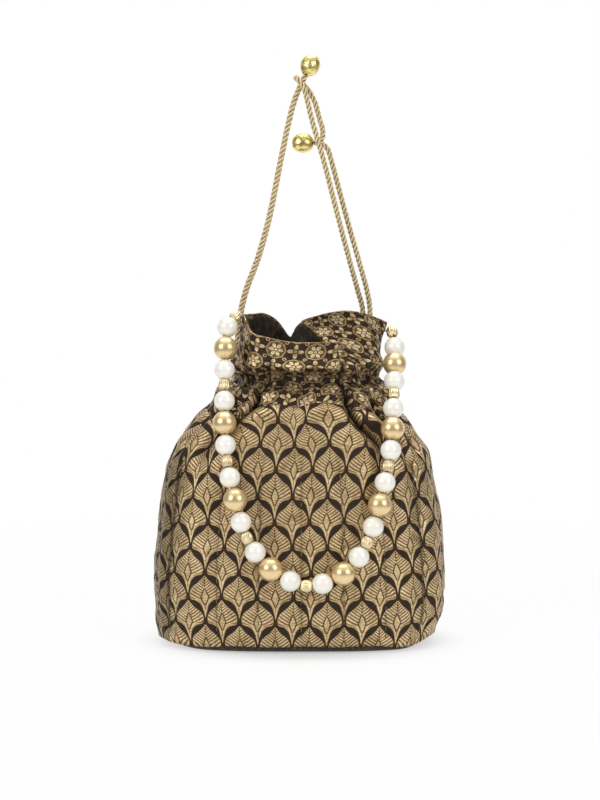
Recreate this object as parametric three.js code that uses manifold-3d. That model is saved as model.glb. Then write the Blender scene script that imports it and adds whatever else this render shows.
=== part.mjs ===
// Potli bag: a gathered brocade pouch on an oval base, with two drawstrings and a beaded handle.
// Millimetres, +Z up. The bag stands on the XY plane and its front faces -Y.
import * as THREE from 'three';
import { mergeVertices } from 'three/addons/utils/BufferGeometryUtils.js';
import Module from 'manifold-3d';

// Outer face of the cloth. Each row: height, half width, half depth, shift to the right,
// turn in degrees, and the section's power (2 is an ellipse, 3 is squarer).
const BAG_PROFILE = [
  [0, 93, 52, 0, 0, 3],
  [6, 98, 57, 0, 0, 3],
  [27, 99.5, 59, 0, 0, 3],
  [54, 99, 60, 0, 0, 3],
  [95, 95, 58, 0, 0, 3],
  [123, 90, 54.5, 0, 0, 3],
  [137, 85, 51, 0.5, 1, 2.9],
  [150, 76, 46, 1.5, 4, 2.7],
  [164, 64, 40, 3, 8, 2.4],
  [178, 51, 33, 4, 10, 2.3],
  [188, 50, 33.5, 5, 10, 2.3],
  [228, 48.5, 37, 7, 10, 2.3],
];
const RIM_HEIGHTS = [221, 225, 214, 224, 228, 213, 210, 226]; // from the right, anticlockwise from above
const CLOTH = 1.6;            // brocade with its interlining
const LINING = 0.8;
const GAP = 0.4;              // between pieces that touch
const RING_STEPS = 40;        // facets round the bag
const BODY_STEPS = 10;        // facets up the body
const PANEL_FOOT = 0.6;
const BODY_TOP = 164;         // seam between the body and the top band
const NECK = 178;             // height of the drawstring casing
const CASING_HALF = 8;
const CASING_SLACK = 2;       // room for the ropes to slide
const BAND_HEIGHTS = [BODY_TOP + GAP, 170, NECK, 186, 198, 228];
const FACING_DROP = 3;        // the lining stops this far below the rim

// Base: outer cloth, stiff card and the lining's floor.
const BASE_HALF = [91, 50];
const BOARD_HALF = [90.5, 49.5];
const LINING_FLOOR_HALF = [93, 52];
const BOARD_THICK = 2;

// Drawstrings: 4 mm twisted rope, each with both ends in one gold bead.
const ROPE = 4;
const ROPE_SIDES = 8;
const ROPE_STEPS = 80;
const GATHERS = 3.6;          // depth of the gathers that close over the ropes
const ROPE_RING_DEPTH = CLOTH + GATHERS + ROPE / 2;  // rope centre below the outer face in the casing
const LEFT_RING = 175.5;      // heights of the two ropes in the casing
const RIGHT_RING = 180.5;
const LEFT_EXIT = 146;        // where each rope leaves the casing, degrees from the right
const RIGHT_EXIT = 36;
const RING_END = 17;          // degrees from the exit: the rope leaves its ring,
const IN_SLOT = 7;            // passes through the slot,
const OUT_OF_SLOT = 4.5;      // and turns up outside
const SLOT = [21, 10, 14];    // cut through the top band at an exit: along, up, through

// From the casing upwards, each rope's two ends.
const LEFT_ROPE_FRONT = [[-44.8, 12.2, 188], [-43.8, 12.9, 202], [-42, 13.4, 222], [-37.5, 10, 241],
  [-29.6, 5.5, 262], [-21.8, 2, 289], [-13.3, -1, 330], [-7.5, -2, 357], [-3.7, -2.1, 371], [0.3, -1.8, 380.4],
  [3.6, -1.5, 387]];
const LEFT_ROPE_BACK = [[-41.9, 17.4, 188], [-42, 18.3, 202], [-41.2, 19, 222], [-36.9, 15.7, 241],
  [-29, 11.2, 262], [-21.3, 7.6, 289], [-13, 4.5, 330], [-7.3, 3, 357], [-3.5, 2.6, 371], [0.3, 2.7, 380.4],
  [3.6, 2.9, 387]];
const RIGHT_ROPE_OUTER = [[46.7, 29.2, 192], [47.6, 30, 206], [48.8, 30.4, 226], [46.6, 26, 240], [40.4, 19, 262],
  [32.6, 13, 289], [25.2, 9.5, 316], [21.4, 8, 330], [18.6, 6.6, 338], [14.6, 5.5, 341.4], [9.9, 5.2, 341.8]];
const RIGHT_ROPE_INNER = [[41.9, 32.4, 192], [42.8, 33.4, 206], [43.8, 34.2, 226], [40.2, 28.5, 240],
  [34, 17, 262], [26.7, 6, 289], [16, -3, 330], [8.1, -6.4, 357], [4.9, -7.2, 370.5], [2.4, -7.4, 379],
  [-1.4, -5.8, 384.2], [-2.8, 0.6, 385.8], [-1.2, 7.4, 384.6], [4.4, 9.2, 379.6], [9.6, 8.4, 371],
  [13.4, 7, 358], [15.4, 5, 351.5], [15.3, 2.5, 345.4], [13, 1.1, 342.2], [9.9, 0.8, 341.8]];

// End beads.
const END_BEAD = { radius: 7, length: 15, bore: 2.2, face: 3.6 };
const TOP_BEAD = { at: [6.9, 0.7, 394.2], axis: [0.4, 0, 0.92] };
const LOWER_BEAD = { at: [2, 3, 341.8], axis: [1, 0, 0] };

// Handle: the route of its string, from the left knot over the belly to the right knot.
const HANDLE_ROUTE = [[-33.4, -15.4, 222.7], [-38.8, -16.5, 223.2], [-42.4, -17.3, 224], [-45.5, -18.4, 224.8],
  [-47.5, -20.2, 224.9], [-48.4, -22, 223.1], [-48.9, -24.2, 218.4], [-50.2, -30.5, 203.4], [-50.7, -38.5, 184.7],
  [-50.5, -45, 169.6], [-50, -53.5, 147.5], [-48.2, -59.8, 128], [-43, -64.8, 104.3], [-37.2, -67.3, 84.3],
  [-29.7, -68.8, 70.3], [-18.1, -69.7, 57.9], [5.5, -70, 47.8], [29.5, -69.9, 56.5], [40.5, -69, 69.5],
  [49.5, -66.3, 89.5], [57, -61.5, 118.5], [60.8, -55, 140], [62.6, -41, 165], [64.1, -22, 187.6], [64.7, -6, 203],
  [65, -1.6, 207.9], [64.2, 1.6, 211.6], [61.8, 2.8, 213.2], [58.6, 2.9, 213.4], [55.8, 2.6, 213.5],
  [50.4, 1.5, 213.9]];
const STRING = 1;
const STRING_SIDES = 8;
const STRING_STEPS = 80;
const KNOT_RADIUS = 1.6;
const STRING_HOLE = [3, 3, 12];
const BEAD_GAP = 0.3;
const END_GAP = 3;            // bare string between an end spacer and its neighbour
const STRAND_START = 7;       // bare string from the left knot to the first bead
const BEADS = {
  spacer: { radius: 4, length: 7.5, bore: 2.7, sides: 8, arcs: 4 },
  pearl: { radius: 7, length: 14, bore: 1.6, sides: 10, arcs: 6 },
  gold_bead: { radius: 8, length: 16, bore: 1.6, sides: 10, arcs: 6 },
};
const STRAND = ['spacer', 'pearl', 'gold_bead', 'pearl'];  // repeated along the string
const STRAND_REPEATS = 8;

const wasm = await Module();
wasm.setup();

const BROCADE = { color: 0x8a6d45, roughness: 0.7, metalness: 0.1 };
const FLORAL = { color: 0x6e5a4a, roughness: 0.75, metalness: 0.1 };
const BLACK_CLOTH = { color: 0x17151a, roughness: 0.85, metalness: 0 };
const CARD = { color: 0x6b5a45, roughness: 0.9, metalness: 0 };
const ROPE_GOLD = { color: 0xd2bd92, roughness: 0.6, metalness: 0 };
const BRIGHT_GOLD = { color: 0xe0b040, roughness: 0.2, metalness: 1 };
const SATIN_GOLD = { color: 0xc9a86a, roughness: 0.35, metalness: 0.9 };
const PEARL = { color: 0xf1ece0, roughness: 0.2, metalness: 0 };
const THREAD = { color: 0xe6dcc6, roughness: 0.7, metalness: 0 };

const bag = new THREE.Group();

function add(name, geometry, finish, group = bag) {
  const mesh = new THREE.Mesh(geometry, new THREE.MeshStandardMaterial(finish));
  mesh.name = name;
  group.add(mesh);
  return mesh;
}

// Cubic through rows of [key, value, value, ...]; the slope at a row comes from its neighbours.
function rowAt(rows, key) {
  const last = rows.length - 1;
  let i = rows.findIndex((row, n) => n === last - 1 || key < rows[n + 1][0]);
  i = Math.max(0, i);
  const slope = (n, column) => {
    const a = rows[Math.max(0, n - 1)];
    const b = rows[Math.min(last, n + 1)];
    return (b[column] - a[column]) / (b[0] - a[0]);
  };
  const step = rows[i + 1][0] - rows[i][0];
  const t = THREE.MathUtils.clamp((key - rows[i][0]) / step, 0, 1);
  const hermite = (column) => (2 * t ** 3 - 3 * t ** 2 + 1) * rows[i][column]
    + (t ** 3 - 2 * t ** 2 + t) * step * slope(i, column)
    + (3 * t ** 2 - 2 * t ** 3) * rows[i + 1][column]
    + (t ** 3 - t ** 2) * step * slope(i + 1, column);
  return rows[i].slice(1).map((_, n) => hermite(n + 1));
}

// Point of a squared ellipse.
function oval(halfWidth, halfDepth, angle, power) {
  const stretch = (v) => Math.sign(v) * Math.abs(v) ** (2 / power);
  return new THREE.Vector2(halfWidth * stretch(Math.cos(angle)), halfDepth * stretch(Math.sin(angle)));
}

// Point of the bag's wall: an angle round it, a height, and a distance in from the outer face.
function onBag(angle, height, inset) {
  const [halfWidth, halfDepth, shift, turn, power] = rowAt(BAG_PROFILE, height);
  const flat = oval(halfWidth - inset, halfDepth - inset, angle, power);
  flat.rotateAround(new THREE.Vector2(), THREE.MathUtils.degToRad(turn));
  return new THREE.Vector3(flat.x + shift, flat.y, height);
}

// Height of the ruffle's rim in a direction.
function rimHeight(angle) {
  const turns = THREE.MathUtils.euclideanModulo(angle / (2 * Math.PI), 1) * RIM_HEIGHTS.length;
  const i = Math.floor(turns);
  const next = RIM_HEIGHTS[(i + 1) % RIM_HEIGHTS.length];
  const ease = THREE.MathUtils.smoothstep(turns - i, 0, 1);
  return THREE.MathUtils.lerp(RIM_HEIGHTS[i % RIM_HEIGHTS.length], next, ease);
}

function moveVertices(geometry, place) {
  const position = geometry.attributes.position;
  const vertex = new THREE.Vector3();
  for (let i = 0; i < position.count; i += 1) {
    vertex.fromBufferAttribute(position, i);
    const moved = place(vertex);
    position.setXYZ(i, moved.x, moved.y, moved.z);
  }
  return geometry;
}

// Half of the body: a sheet of cloth wrapped on the bag between two angles.
function bodyPanel(fromAngle) {
  const sheet = new THREE.BoxGeometry(1, 1, 1, RING_STEPS / 2, 1, BODY_STEPS);
  const seam = 0.0004;
  return moveVertices(sheet, (v) => {
    const angle = fromAngle + seam + (v.x + 0.5) * (Math.PI - 2 * seam);
    return onBag(angle, bodyHeights[Math.round((v.z + 0.5) * BODY_STEPS)], (v.y + 0.5) * CLOTH);
  });
}

// A closed ring of cloth from its profile of [inset, height], the outside going up first.
function clothRing(profile, rimDrop) {
  const reach = 100;
  const top = Math.max(...BAND_HEIGHTS);
  const points = [...profile, profile[0]].map(([inset, height]) => new THREE.Vector2(reach - inset, height));
  const ring = new THREE.LatheGeometry(points, RING_STEPS).rotateX(Math.PI / 2);
  return moveVertices(ring, (v) => {
    const angle = Math.atan2(v.y, v.x);
    const ruffle = Math.max(0, (v.z - BAND_HEIGHTS[3]) / (top - BAND_HEIGHTS[3]));
    const height = v.z - ruffle * (top - rimHeight(angle) + rimDrop);
    return onBag(angle, height, reach - Math.hypot(v.x, v.y));
  });
}

// A flat oval sheet.
function ovalSheet([halfWidth, halfDepth], thick, foot) {
  const outline = Array.from({ length: RING_STEPS }, (_, i) => (
    oval(halfWidth, halfDepth, (2 * Math.PI * i) / RING_STEPS, BAG_PROFILE[0][5])));
  const sheet = new THREE.ExtrudeGeometry(new THREE.Shape(outline), { depth: thick, bevelEnabled: false });
  return sheet.translate(0, 0, foot);
}

function tube(route, diameter, sides, steps) {
  const section = new THREE.Shape().absarc(0, 0, diameter / 2, 0, 2 * Math.PI);
  return new THREE.ExtrudeGeometry(section, { extrudePath: route, steps, curveSegments: sides / 2 });
}

function curveThrough(points) {
  return new THREE.CatmullRomCurve3(points.map((p) => (p.isVector3 ? p : new THREE.Vector3(...p))));
}

// A bead on a bore, its axis along Y; its ends are flat, where the bore and the face meet.
function beadGeometry({ radius, length, bore, face = bore, sides, arcs }) {
  const end = Math.acos(face / radius);
  const points = [new THREE.Vector2(bore, -length / 2)];
  for (let i = 0; i <= arcs; i += 1) {
    const angle = end * ((2 * i) / arcs - 1);
    points.push(new THREE.Vector2(radius * Math.cos(angle), (length / 2) * (Math.sin(angle) / Math.sin(end))));
  }
  points.push(new THREE.Vector2(bore, length / 2), new THREE.Vector2(bore, -length / 2));
  const distinct = points.filter((p, i) => i === 0 || p.distanceTo(points[i - 1]) > 1e-6);
  return new THREE.LatheGeometry(distinct, sides);
}

function alongAxis(mesh, at, axis) {
  mesh.position.copy(at);
  mesh.quaternion.setFromUnitVectors(new THREE.Vector3(0, 1, 0), axis.clone().normalize());
}

// Closed solids for joining and cutting.
function solid(geometry) {
  const bare = geometry.clone();
  bare.deleteAttribute('normal');
  bare.deleteAttribute('uv');
  const merged = mergeVertices(bare);
  return new wasm.Manifold(new wasm.Mesh({
    numProp: 3,
    vertProperties: new Float32Array(merged.attributes.position.array),
    triVerts: new Uint32Array(merged.index.array),
  }));
}

function geometryOf(body) {
  const mesh = body.getMesh();
  const geometry = new THREE.BufferGeometry();
  geometry.setAttribute('position', new THREE.BufferAttribute(mesh.vertProperties, 3));
  geometry.setIndex(new THREE.BufferAttribute(mesh.triVerts, 1));
  return geometry;
}

// A box that goes through a wall at a point, facing a direction.
function cutter([along, up, through], at, facing) {
  const box = new THREE.BoxGeometry(along, up, through);
  const turned = new THREE.Object3D();
  turned.up.set(0, 0, 1);
  turned.position.copy(at);
  turned.lookAt(at.clone().add(facing));
  turned.updateMatrix();
  return solid(box.applyMatrix4(turned.matrix));
}

const radians = THREE.MathUtils.degToRad;
const bodyHeights = Array.from({ length: BODY_STEPS + 1 }, (_, i) => (
  PANEL_FOOT + (BODY_TOP - PANEL_FOOT) * (i / BODY_STEPS) ** 1.5));

// Body and base.
add('front_panel', bodyPanel(Math.PI), BROCADE);
add('back_panel', bodyPanel(0), BROCADE);
add('base_panel', ovalSheet(BASE_HALF, CLOTH, 0), BLACK_CLOTH);
const boardFoot = CLOTH + GAP;
add('base_board', ovalSheet(BOARD_HALF, BOARD_THICK, boardFoot), CARD);
const floorFoot = boardFoot + BOARD_THICK + GAP;
add('lining_base', ovalSheet(LINING_FLOOR_HALF, LINING, floorFoot), BLACK_CLOTH);

// Holes in the top band and the lining for the handle string and the ropes.
const handleEnds = [HANDLE_ROUTE[1], HANDLE_ROUTE.at(-2)].map((p) => new THREE.Vector3(...p));
const handleAxis = handleEnds[1].clone().sub(handleEnds[0]).normalize();
const stringHoles = handleEnds.map((end) => cutter(STRING_HOLE, end, handleAxis));
const slots = [[LEFT_EXIT, LEFT_RING], [RIGHT_EXIT, RIGHT_RING]].map(([exit, height]) => {
  const at = onBag(radians(exit), height, 0);
  const inward = onBag(radians(exit), height, 1).sub(at);
  return cutter(SLOT, at, inward);
});

// Top band: it closes the neck over the ropes and stands up as the ruffle.
const bandProfile = [
  ...BAND_HEIGHTS.map((height) => [0, height]),
  ...BAND_HEIGHTS.map((height) => [CLOTH, height]).reverse(),
];
const band = [...slots, ...stringHoles].reduce((body, hole) => body.subtract(hole), solid(clothRing(bandProfile, 0)));
add('top_band', geometryOf(band), FLORAL);

// Lining: it follows the body, and stands off the band where the ropes run.
const liningHeights = [floorFoot, ...bodyHeights.slice(2, -1), ...BAND_HEIGHTS];
const liningInset = (height) => (Math.abs(height - NECK) < CASING_HALF + 1
  ? ROPE_RING_DEPTH + ROPE / 2 + CASING_SLACK : CLOTH + 1.5 * GAP);
const liningProfile = [
  ...liningHeights.map((height) => [liningInset(height), height]),
  ...liningHeights.map((height) => [liningInset(height) + LINING, height]).reverse(),
];
const lining = stringHoles.reduce((body, hole) => body.subtract(hole), solid(clothRing(liningProfile, FACING_DROP)));
add('lining', geometryOf(lining), BLACK_CLOTH);

// Drawstrings: down from the bead, in at the exit, once round the neck, out again and back up.
function drawstring(startEnd, exit, ring, finishEnd) {
  const turnSteps = 16;
  const wall = (degrees, rise, inset) => onBag(radians(exit + degrees), ring + rise, inset);
  const round = Array.from({ length: turnSteps + 1 }, (_, i) => (
    wall(RING_END + ((360 - 2 * RING_END) * i) / turnSteps, 0, ROPE_RING_DEPTH)));
  const out = (side) => [wall(side * IN_SLOT, 0.5, 0.5), wall(side * OUT_OF_SLOT, 4, -3)];
  return curveThrough([...startEnd.toReversed(), ...out(1).reverse(), ...round, ...out(-1), ...finishEnd]);
}

const leftRope = drawstring(LEFT_ROPE_FRONT, LEFT_EXIT, LEFT_RING, LEFT_ROPE_BACK);
add('left_drawstring', tube(leftRope, ROPE, ROPE_SIDES, ROPE_STEPS), ROPE_GOLD);
const rightRope = drawstring(RIGHT_ROPE_INNER, RIGHT_EXIT, RIGHT_RING, RIGHT_ROPE_OUTER);
add('right_drawstring', tube(rightRope, ROPE, ROPE_SIDES, ROPE_STEPS), ROPE_GOLD);

const endBead = beadGeometry({ ...END_BEAD, sides: 12, arcs: 6 });
for (const [name, { at, axis }] of [['top_end_bead', TOP_BEAD], ['lower_end_bead', LOWER_BEAD]]) {
  const mesh = add(name, endBead, BRIGHT_GOLD);
  alongAxis(mesh, new THREE.Vector3(...at), new THREE.Vector3(...axis));
}

// Handle: one knotted string, with the beads packed along it from its middle.
const handle = new THREE.Group();
bag.add(handle);
const handleRoute = curveThrough(HANDLE_ROUTE);
const knots = [0, 1].map((t) => (
  new THREE.SphereGeometry(KNOT_RADIUS, 8, 6).translate(...handleRoute.getPointAt(t).toArray())));
const knottedString = knots.reduce(
  (body, knot) => body.add(solid(knot)),
  solid(tube(handleRoute, STRING, STRING_SIDES, STRING_STEPS)),
);
add('handle_string', geometryOf(knottedString), THREAD, handle);

const finishes = { spacer: SATIN_GOLD, pearl: PEARL, gold_bead: SATIN_GOLD };
const shapes = Object.fromEntries(Object.entries(BEADS).map(([kind, size]) => [kind, beadGeometry(size)]));
const strand = [...Array.from({ length: STRAND_REPEATS }, () => STRAND).flat(), STRAND[0]];
const gapAfter = (i) => (i === 0 || i === strand.length - 2 ? END_GAP : BEAD_GAP);
const strandLength = strand.reduce((sum, kind, i) => sum + BEADS[kind].length + gapAfter(i), -BEAD_GAP);
const routeLength = handleRoute.getLength();
const counts = {};
let place = STRAND_START;
for (const [i, kind] of strand.entries()) {
  const { length } = BEADS[kind];
  const t = (place + length / 2) / routeLength;
  counts[kind] = (counts[kind] ?? 0) + 1;
  const bead = add(`${kind}_${String(counts[kind]).padStart(2, '0')}`, shapes[kind], finishes[kind], handle);
  alongAxis(bead, handleRoute.getPointAt(t), handleRoute.getTangentAt(t));
  place += length + gapAfter(i);
}

export default bag;
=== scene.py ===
"""Potli bag: a brocade pouch with a ruffled mouth, two twisted drawstrings and a beaded handle.

Lengths are in millimetres up to the moment a mesh is made, and in metres from there on.
Angles round the bag run anticlockwise seen from above: 0 is right, 90 back, 180 left and 270 front.
"""
import math
import random

import bpy
import numpy as np
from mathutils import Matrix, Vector, noise


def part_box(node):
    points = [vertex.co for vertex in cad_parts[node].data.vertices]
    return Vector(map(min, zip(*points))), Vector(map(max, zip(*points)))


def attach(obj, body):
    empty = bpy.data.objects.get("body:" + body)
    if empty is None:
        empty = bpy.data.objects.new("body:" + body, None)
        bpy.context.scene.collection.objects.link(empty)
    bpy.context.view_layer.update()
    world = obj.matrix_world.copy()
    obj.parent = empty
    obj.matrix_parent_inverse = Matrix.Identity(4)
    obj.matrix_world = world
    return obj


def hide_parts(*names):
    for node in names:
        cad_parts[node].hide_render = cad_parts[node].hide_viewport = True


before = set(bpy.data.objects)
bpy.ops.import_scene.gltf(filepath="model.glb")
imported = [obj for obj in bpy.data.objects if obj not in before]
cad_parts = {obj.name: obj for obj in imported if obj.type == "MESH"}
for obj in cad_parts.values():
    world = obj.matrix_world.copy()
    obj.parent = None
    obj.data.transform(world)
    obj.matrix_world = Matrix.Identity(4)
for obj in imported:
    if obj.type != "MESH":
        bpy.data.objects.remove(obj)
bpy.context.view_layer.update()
MM = .001

# The bag's outside: height, half width, half depth, shift to the right, turn, squareness
BAG_PROFILE = np.array([
    [0, 93, 52, 0, 0, 3],
    [6, 98, 57, 0, 0, 3],
    [27, 99.5, 59, 0, 0, 3],
    [54, 99, 60, 0, 0, 3],
    [95, 95, 58, 0, 0, 3],
    [123, 90, 54.5, 0, 0, 3],
    [137, 85, 51, .5, 1, 2.9],
    [150, 76, 46, 1.5, 4, 2.7],
    [164, 64, 40, 3, 8, 2.4],
    [178, 51, 33, 4, 10, 2.3],
    [188, 50, 33.5, 5, 10, 2.3],
    [228, 48.5, 37, 7, 10, 2.3],
])
BASE_SEAM = 4.6        # height of the seam between the base and the body
BELLY = 54             # height at which the body's cloth lies flat, without gathers
CASING_TOP = 190       # above this the top band stands free as a ruffle

# The drawstrings, with the same routes as in the part's source
ROPE_RING_DEPTH = 7.2  # of the ring round the neck, under the bag's smooth outside
RING_END = 17          # degrees from the slot to each end of that ring
IN_SLOT = 7            # degrees from the slot's middle to a strand inside it
OUT_OF_SLOT = 4.5      # and outside it
LEFT_EXIT, LEFT_RING = 146, 175.5    # direction of the slot, and height of the ring
RIGHT_EXIT, RIGHT_RING = 36, 180.5
LEFT_ROPE_FRONT = [
    [-44.8, 12.2, 188], [-43.8, 12.9, 202], [-42, 13.4, 222], [-37.5, 10, 241], [-29.6, 5.5, 262],
    [-21.8, 2, 289], [-13.3, -1, 330], [-7.5, -2, 357], [-3.7, -2.1, 371], [.3, -1.8, 380.4],
    [3.6, -1.5, 387],
]
LEFT_ROPE_BACK = [
    [-41.9, 17.4, 188], [-42, 18.3, 202], [-41.2, 19, 222], [-36.9, 15.7, 241], [-29, 11.2, 262],
    [-21.3, 7.6, 289], [-13, 4.5, 330], [-7.3, 3, 357], [-3.5, 2.6, 371], [.3, 2.7, 380.4],
    [3.6, 2.9, 387],
]
RIGHT_ROPE_OUTER = [
    [46.7, 29.2, 192], [47.6, 30, 206], [48.8, 30.4, 226], [46.6, 26, 240], [40.4, 19, 262],
    [32.6, 13, 289], [25.2, 9.5, 316], [21.4, 8, 330], [18.6, 6.6, 338], [14.6, 5.5, 341.4],
    [9.9, 5.2, 341.8],
]
RIGHT_ROPE_INNER = [
    [41.9, 32.4, 192], [42.8, 33.4, 206], [43.8, 34.2, 226], [40.2, 28.5, 240], [34, 17, 262],
    [26.7, 6, 289], [16, -3, 330], [8.1, -6.4, 357], [4.9, -7.2, 370.5], [2.4, -7.4, 379],
    [-1.4, -5.8, 384.2], [-2.8, .6, 385.8], [-1.2, 7.4, 384.6], [4.4, 9.2, 379.6], [9.6, 8.4, 371],
    [13.4, 7, 358], [15.4, 5, 351.5], [15.3, 2.5, 345.4], [13, 1.1, 342.2], [9.9, .8, 341.8],
]

# The ruffle's rim from the slit at the front right, anticlockwise: direction at the neck, then the point
RIM = [
    [287, .5, 8, 219.8], [296, 4.5, 4.5, 222], [306, 13, -4, 225], [317, 24, -13, 227.5],
    [330, 34, -17.5, 228], [341, 43, -15.5, 226.5], [352, 53, -8.5, 222.5], [362, 60, 3, 219.5],
    [380, 54.5, 16, 221], [400, 44, 26, 223], [420, 30, 32.5, 222], [440, 12, 34.5, 220.5],
    [452, 1.5, 34.5, 218.5], [460, -3.5, 34, 212], [468, -7, 32.5, 208], [480, -11.5, 29, 214],
    [495, -17.5, 24, 221.5], [510, -26, 16, 225.5], [525, -34, 5, 225.5], [540, -39, -6, 225.5],
    [549, -39.4, -14, 226], [555, -38.6, -19, 224], [562, -37, -24, 219.5], [569, -34.6, -28.8, 215.5],
    [575, -31, -32.6, 213], [588, -23, -34, 211], [603, -11.5, -34.3, 208.6], [617, 0, -34.5, 207.6],
    [632, 13, -34.2, 207.4], [647, 25.5, -33.6, 208.2],
]


def srgb(red, green, blue):
    """A colour as a screen shows it, 0 to 255, in the numbers that shaders use."""
    def linear(part):
        part /= 255
        return part / 12.92 if part <= .04045 else ((part + .055) / 1.055) ** 2.4
    return (linear(red), linear(green), linear(blue), 1)


def smooth(low, high, value):
    """0 below low, 1 above high, and an easy curve between."""
    t = np.clip((np.asarray(value, float) - low) / (high - low), 0, 1)
    return t * t * (3 - 2 * t)


def bell(value, centre, width):
    """1 at the centre, falling off to both sides."""
    return np.exp(-((value - centre) / width) ** 2)


def through(points, places):
    """Points on a smooth curve through the given ones, at places counted in whole and part points."""
    points = np.asarray(points, float)
    count = len(points)
    padded = np.vstack([2 * points[0] - points[1], points, 2 * points[-1] - points[-2]])
    first = np.clip(np.floor(places).astype(int), 0, count - 2)
    t = (np.asarray(places) - first)[:, None]
    a, b, c, d = (padded[first + k] for k in range(4))
    return .5 * (2 * b + (c - a) * t + (2 * a - 5 * b + 4 * c - d) * t ** 2
                 + (3 * b - a - 3 * c + d) * t ** 3)


def lengths_along(points):
    """Distance from the first point to each point, along the line."""
    steps = np.linalg.norm(np.diff(points, axis=0), axis=1)
    return np.concatenate([[0], np.cumsum(steps)])


def even_points(points, step):
    """The same line with its points a step apart, as nearly as whole steps allow."""
    along = lengths_along(points)
    wanted = np.linspace(0, along[-1], max(2, round(along[-1] / step) + 1))
    return np.stack([np.interp(wanted, along, points[:, k]) for k in range(3)], axis=1)


def centripetal(points, parts=24):
    """The smooth line that the part's source draws through a cord's points."""
    points = [np.asarray(p, float) for p in points]
    points = [2 * points[0] - points[1]] + points + [2 * points[-1] - points[-2]]
    line = []
    for a, b, c, d in zip(points, points[1:], points[2:], points[3:]):
        ta, tb, tc = (math.sqrt(np.linalg.norm(q - p)) for p, q in ((a, b), (b, c), (c, d)))
        start = ((b - a) / ta - (c - a) / (ta + tb) + (c - b) / tb) * tb
        end = ((c - b) / tb - (d - b) / (tb + tc) + (d - c) / tc) * tb
        for t in np.arange(parts) / parts:
            line.append(b + start * t + (3 * (c - b) - 2 * start - end) * t ** 2
                        + (2 * (b - c) + start + end) * t ** 3)
    line.append(points[-2])
    return np.array(line)


PROFILE_ENDS = np.clip(np.arange(len(BAG_PROFILE))[:, None] + (-1, 1), 0, len(BAG_PROFILE) - 1)
PROFILE_STEPS = BAG_PROFILE[PROFILE_ENDS[:, 1]] - BAG_PROFILE[PROFILE_ENDS[:, 0]]
PROFILE_SLOPES = PROFILE_STEPS[:, 1:] / PROFILE_STEPS[:, :1]
RIM_CURVE = through(RIM, np.linspace(0, len(RIM) - 1, 4000))
RIM_ALONG = lengths_along(RIM_CURVE[:, 1:])


def on_bag(angle, height, inset=0):
    """Points on the bag's smooth outside, or inside it by the inset."""
    angle, height, inset = np.broadcast_arrays(
        np.asarray(angle, float), np.asarray(height, float), np.asarray(inset, float))
    heights = BAG_PROFILE[:, 0]
    row = np.clip(np.searchsorted(heights, height, side="right") - 1, 0, len(heights) - 2)
    span = (heights[row + 1] - heights[row])[..., None]
    t = np.clip((height - heights[row])[..., None] / span, 0, 1)
    values = ((2 * t ** 3 - 3 * t ** 2 + 1) * BAG_PROFILE[row, 1:]
              + (t ** 3 - 2 * t ** 2 + t) * span * PROFILE_SLOPES[row]
              + (3 * t ** 2 - 2 * t ** 3) * BAG_PROFILE[row + 1, 1:]
              + (t ** 3 - t ** 2) * span * PROFILE_SLOPES[row + 1])
    wide, deep, shift, turn, power = np.moveaxis(values, -1, 0)
    a = np.radians(angle)
    x = np.sign(np.cos(a)) * np.abs(np.cos(a)) ** (2 / power) * (wide - inset)
    y = np.sign(np.sin(a)) * np.abs(np.sin(a)) ** (2 / power) * (deep - inset)
    turn = np.radians(turn)
    return np.stack([x * np.cos(turn) - y * np.sin(turn) + shift,
                     x * np.sin(turn) + y * np.cos(turn), height], axis=-1)


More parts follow.
